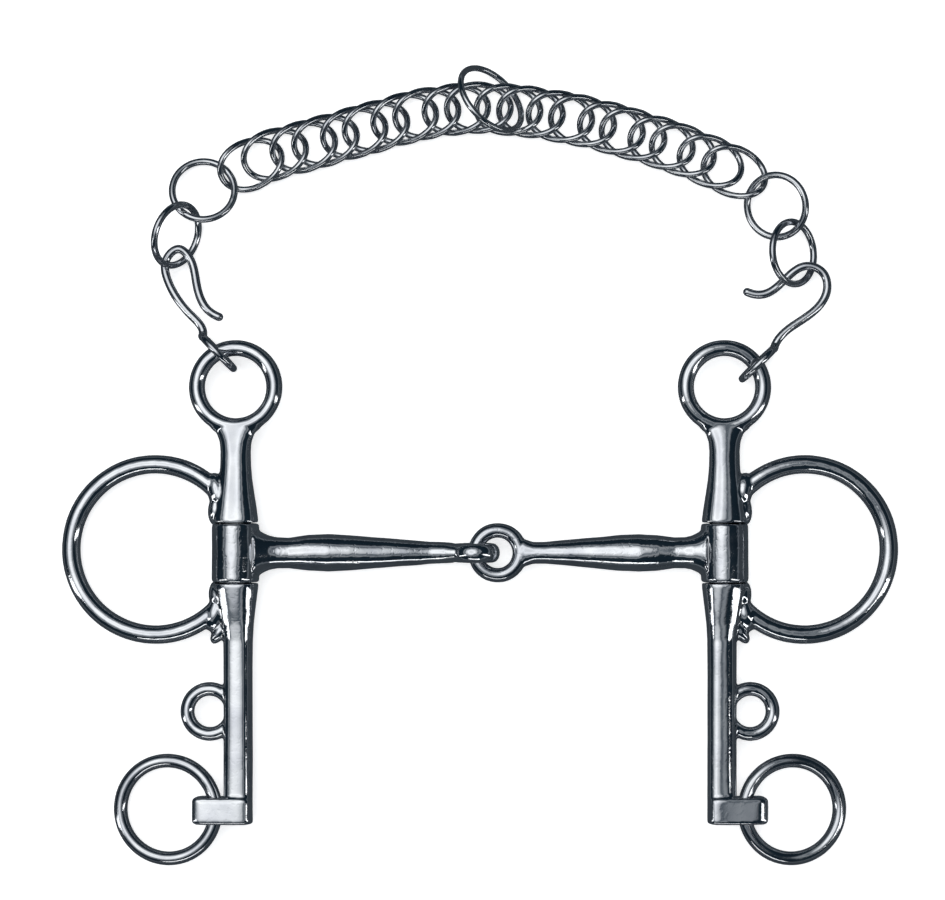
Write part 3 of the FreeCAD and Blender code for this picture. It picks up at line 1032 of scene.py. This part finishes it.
@dataclass
class WireRing:
    """A ring of round wire with a faint weld."""

    node: str
    wire_r: float
    ring_r: float
    weld_turn: float = 0.2
    weld_swell: float = 0.03
    weld_length: float = 0.012
    steps: int = 160
    sides: int = 22

    def radius(self, share: float) -> float:
        """Return the wire's radius at a share of the way round.

        Args:
            share: From 0 to 1.

        Returns:
            The radius.
        """
        away = min(abs(share - self.weld_turn), 1 - abs(share - self.weld_turn))
        return self.wire_r * (1.0 + self.weld_swell * math.exp(-((away / self.weld_length) ** 2)))

    def build(self) -> bpy.types.Object:
        """Build and dress the ring.

        Returns:
            The ring.
        """
        lay = NodeLay.of(self.node)
        path = []
        for step in range(self.steps):
            turn = 2 * math.pi * step / self.steps
            path.append(
                lay.middle
                + lay.long * (self.ring_r * math.cos(turn))
                + lay.wide * (self.ring_r * math.sin(turn))
            )
        stock = MeshStock()
        stock.tube(path, self.radius, self.sides, closed=True)
        piece = stock.object(f"{self.node}_wire")
        return finish_piece(piece, WIRE_STEEL, self.node, self.node)


@dataclass
class ChainLink:
    """One twisted link of the double curb chain."""

    number: int
    half_length: float = 10.2 * MM
    half_width: float = 7.4 * MM
    twist: float = 2.15 * MM
    wire_r: float = 0.99 * MM
    weld_swell: float = 0.06
    steps: int = 112
    sides: int = 18

    def radius(self, share: float) -> float:
        """Return the wire's radius, with the weld at one of the long sides.

        Args:
            share: From 0 to 1.

        Returns:
            The radius.
        """
        weld = 0.75 + 0.02 * math.sin(self.number * 2.3)
        return self.wire_r * (1.0 + self.weld_swell * math.exp(-(((share - weld) / 0.012) ** 2)))

    def build(self) -> bpy.types.Object:
        """Build and dress the link.

        Returns:
            The link.
        """
        node = f"chain_link_{self.number:02d}"
        lay = NodeLay.of(node)
        path = []
        for step in range(self.steps):
            turn = 2 * math.pi * step / self.steps
            path.append(
                lay.middle
                + lay.long * (self.half_length * math.cos(turn))
                + lay.wide * (self.half_width * math.sin(turn))
                - lay.thin * (self.twist * math.sin(2 * turn))
            )
        stock = MeshStock()
        stock.tube(path, self.radius, self.sides, closed=True)
        piece = stock.object(f"{node}_wire")
        return finish_piece(piece, WIRE_STEEL, node, node)


@dataclass
class CurbChain:
    """The curb chain with its plain end rings and the fly link."""

    links: int = 20
    plain_r: float = 9.9 * MM
    plain_wire_r: float = 1.1 * MM
    fly_r: float = 12.0 * MM
    fly_wire_r: float = 0.99 * MM

    def build(self) -> None:
        """Build and dress every link and ring."""
        for number in range(1, self.links + 1):
            ChainLink(number).build()
        for node, weld in (
            ("left_outer_ring", 0.35),
            ("left_inner_ring", 0.8),
            ("right_inner_ring", 0.15),
            ("right_outer_ring", 0.6),
        ):
            WireRing(node, self.plain_wire_r, self.plain_r, weld).build()
        WireRing("fly_link", self.fly_wire_r, self.fly_r, 0.05).build()


@dataclass
class CurbHook:
    """One curb hook, its closed eye melted into its shank."""

    side: Side
    grain: float = 0.17 * MM
    relax_passes: int = 8
    wave_size: float = 5 * MM
    wave_depth: float = 0.05 * MM

    def build(self) -> bpy.types.Object:
        """Build and dress the hook.

        Returns:
            The hook.
        """
        node = f"{self.side.value}_curb_hook"
        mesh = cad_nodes()[node].data.copy()
        piece = bpy.data.objects.new(f"{node}_wire", mesh)
        bpy.context.scene.collection.objects.link(piece)
        cast(piece, self.grain, self.relax_passes)
        roughen(piece, self.wave_size, self.wave_depth, 11.0 + self.side.sign)
        return finish_piece(piece, WIRE_STEEL, node, node)


@dataclass
class CurbRing:
    """One loose curb rein ring."""

    side: Side
    ring_r: float = 15.55 * MM
    wire_r: float = 2.2 * MM

    def build(self) -> bpy.types.Object:
        """Build and dress the ring.

        Returns:
            The ring.
        """
        node = f"{self.side.value}_curb_ring"
        return WireRing(node, self.wire_r, self.ring_r, 0.4, 0.015, steps=200, sides=32).build()


# Studio --------------------------------------------------------------------------------


@dataclass(frozen=True)
class SoftBox:
    """A soft studio lamp.

    Attributes:
        name: Its name.
        azimuth: Direction it stands in, in degrees from +X.
        elevation: Height above the surface, in degrees.
        distance: Distance from the bit.
        size: Width and height of its face.
        power: Its power.
        tint: Its colour.
    """

    name: str
    azimuth: float
    elevation: float
    distance: float
    size: tuple[float, float]
    power: float
    tint: Point = (1.0, 1.0, 1.0)


@dataclass
class Studio:
    """The pale floor, the lamps, the surroundings and the camera."""

    floor_size: float = 12.0
    floor_tone: Point = (0.86, 0.87, 0.88)
    lens: float = 135.0
    sensor: float = 36.0
    view_width: float = 300.0 * MM
    aim_shift: tuple[float, float] = (-2.4 * MM, 4.9 * MM)
    boxes: tuple[SoftBox, ...] = (
        SoftBox("left_box", 200.0, 24.0, 1.2, (0.14, 0.9), 0.9),
        SoftBox("right_box", -20.0, 34.0, 1.2, (0.14, 0.9), 1.1),
        SoftBox("near_box", -95.0, 30.0, 1.2, (0.9, 0.14), 0.9),
    )
    sun_power: float = 1.6
    sun_angle: float = 70.0
    ceiling: Point = (-0.30, 0.24, 0.92)
    floor_glow: float = 0.62
    sun_tilt: tuple[float, float] = (-12.0, -8.0)

    def floor(self, low: float) -> bpy.types.Object:
        """Lay the floor under the bit.

        Args:
            low: Height of the bit's lowest point.

        Returns:
            The floor.
        """
        half = self.floor_size / 2
        corners = [(-half, -half, low), (half, -half, low), (half, half, low), (-half, half, low)]
        mesh = bpy.data.meshes.new("floor")
        mesh.from_pydata(corners, [], [(0, 1, 2, 3)])
        floor = bpy.data.objects.new("floor", mesh)
        bpy.context.scene.collection.objects.link(floor)
        paper = bpy.data.materials.new("pale_paper")
        paper.use_nodes = True
        shader = paper.node_tree.nodes["Principled BSDF"]
        shader.inputs["Roughness"].default_value = 0.9
        shader.inputs["Emission Color"].default_value = (1.0, 1.0, 1.0, 1.0)
        shader.inputs["Emission Strength"].default_value = self.floor_glow
        grain = paper.node_tree.nodes.new("ShaderNodeTexNoise")
        grain.inputs["Scale"].default_value = 4.0
        tone = paper.node_tree.nodes.new("ShaderNodeMix")
        tone.data_type = "RGBA"
        tone.inputs["A"].default_value = (*self.floor_tone, 1.0)
        tone.inputs["B"].default_value = (*(value * 0.985 for value in self.floor_tone), 1.0)
        paper.node_tree.links.new(grain.outputs["Fac"], tone.inputs["Factor"])
        paper.node_tree.links.new(tone.outputs["Result"], shader.inputs["Base Color"])
        mesh.materials.append(paper)
        floor.visible_glossy = False
        floor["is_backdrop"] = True
        return floor

    def lamp(self, box: SoftBox, target: Vector) -> bpy.types.Object:
        """Stand one lamp up, facing the bit.

        Args:
            box: The lamp.
            target: The point it faces.

        Returns:
            The lamp's object.
        """
        light = bpy.data.lights.new(box.name, "AREA")
        light.shape = "RECTANGLE"
        light.size, light.size_y = box.size
        light.energy = box.power
        light.color = box.tint
        lamp = bpy.data.objects.new(box.name, light)
        azimuth, elevation = math.radians(box.azimuth), math.radians(box.elevation)
        away = Vector((
            math.cos(azimuth) * math.cos(elevation),
            math.sin(azimuth) * math.cos(elevation),
            math.sin(elevation),
        ))
        lamp.location = target + away * box.distance
        lamp.rotation_euler = away.to_track_quat("Z", "Y").to_euler()
        bpy.context.scene.collection.objects.link(lamp)
        lamp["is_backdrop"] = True
        return lamp

    def sun(self) -> bpy.types.Object:
        """Light the floor softly from above; the steel doesn't mirror this lamp.

        Returns:
            The lamp's object.
        """
        light = bpy.data.lights.new("floor_light", "SUN")
        light.energy = self.sun_power
        light.angle = math.radians(self.sun_angle)
        lamp = bpy.data.objects.new("floor_light", light)
        lamp.rotation_euler = (*(math.radians(tilt) for tilt in self.sun_tilt), 0.0)
        lamp.visible_glossy = False
        bpy.context.scene.collection.objects.link(lamp)
        lamp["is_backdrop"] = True
        return lamp

    def surroundings(self) -> None:
        """Paint the room the steel mirrors: a bright ceiling over dark blue walls."""
        world = bpy.data.worlds.new("studio_room")
        world.use_nodes = True
        tree = world.node_tree
        shade = tree.nodes["Background"]
        place = tree.nodes.new("ShaderNodeTexCoord")
        facing = tree.nodes.new("ShaderNodeVectorMath")
        facing.operation = "DOT_PRODUCT"
        facing.inputs[1].default_value = Vector(self.ceiling).normalized()
        tree.links.new(place.outputs["Generated"], facing.inputs[0])
        ramp = tree.nodes.new("ShaderNodeValToRGB")
        ramp.color_ramp.interpolation = "EASE"
        stops = (
            (0.0, (0.05, 0.06, 0.07)),
            (0.10, (0.16, 0.18, 0.20)),
            (0.20, (0.008, 0.016, 0.024)),
            (0.70, (0.010, 0.020, 0.030)),
            (0.78, (0.30, 0.32, 0.34)),
            (0.84, (0.10, 0.12, 0.14)),
            (0.90, (0.70, 0.72, 0.74)),
            (0.97, (1.35, 1.36, 1.37)),
            (1.0, (1.1, 1.11, 1.12)),
        )
        elements = ramp.color_ramp.elements
        while len(elements) < len(stops):
            elements.new(0.5)
        for element, (position, colour) in zip(elements, stops):
            element.position = position
            element.color = (*colour, 1.0)
        tree.links.new(facing.outputs["Value"], ramp.inputs["Fac"])
        tree.links.new(ramp.outputs["Color"], shade.inputs["Color"])
        shade.inputs["Strength"].default_value = 1.0
        bpy.context.scene.world = world

    def camera(self, low: Vector, high: Vector) -> bpy.types.Object:
        """Hang the camera over the bit, looking straight down.

        Args:
            low: Lowest corner of the bit's box.
            high: Highest corner of the bit's box.

        Returns:
            The camera.
        """
        data = bpy.data.cameras.new("camera")
        data.lens = self.lens
        data.sensor_width = self.sensor
        data.clip_end = 20.0
        camera = bpy.data.objects.new("camera", data)
        middle = (low + high) / 2
        height = self.view_width * self.lens / self.sensor
        camera.location = (middle.x + self.aim_shift[0], middle.y + self.aim_shift[1], height)
        bpy.context.scene.collection.objects.link(camera)
        bpy.context.scene.camera = camera
        return camera

    def build(self, low: Vector, high: Vector) -> None:
        """Set the whole studio up.

        Args:
            low: Lowest corner of the bit's box.
            high: Highest corner of the bit's box.
        """
        self.floor(low.z)
        target = (low + high) / 2
        for box in self.boxes:
            self.lamp(box, target)
        self.sun()
        self.surroundings()
        self.camera(low, high)
        bpy.context.scene.view_settings.view_transform = "Standard"
        LOG.info("studio: %d lamps", len(self.boxes))


def main() -> None:
    """Load the frame, build every piece and note the sizes."""
    logging.basicConfig(level=logging.INFO, format="%(name)s: %(message)s")
    _FRAME.update(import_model())
    frame_low, frame_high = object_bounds()
    for side in Side:
        Cheek(side).build()
        Cannon(side).build()
        CurbRing(side).build()
        CurbHook(side).build()
    CurbChain().build()
    Studio().build(frame_low, frame_high)


if __name__ == "__main__":
    main()
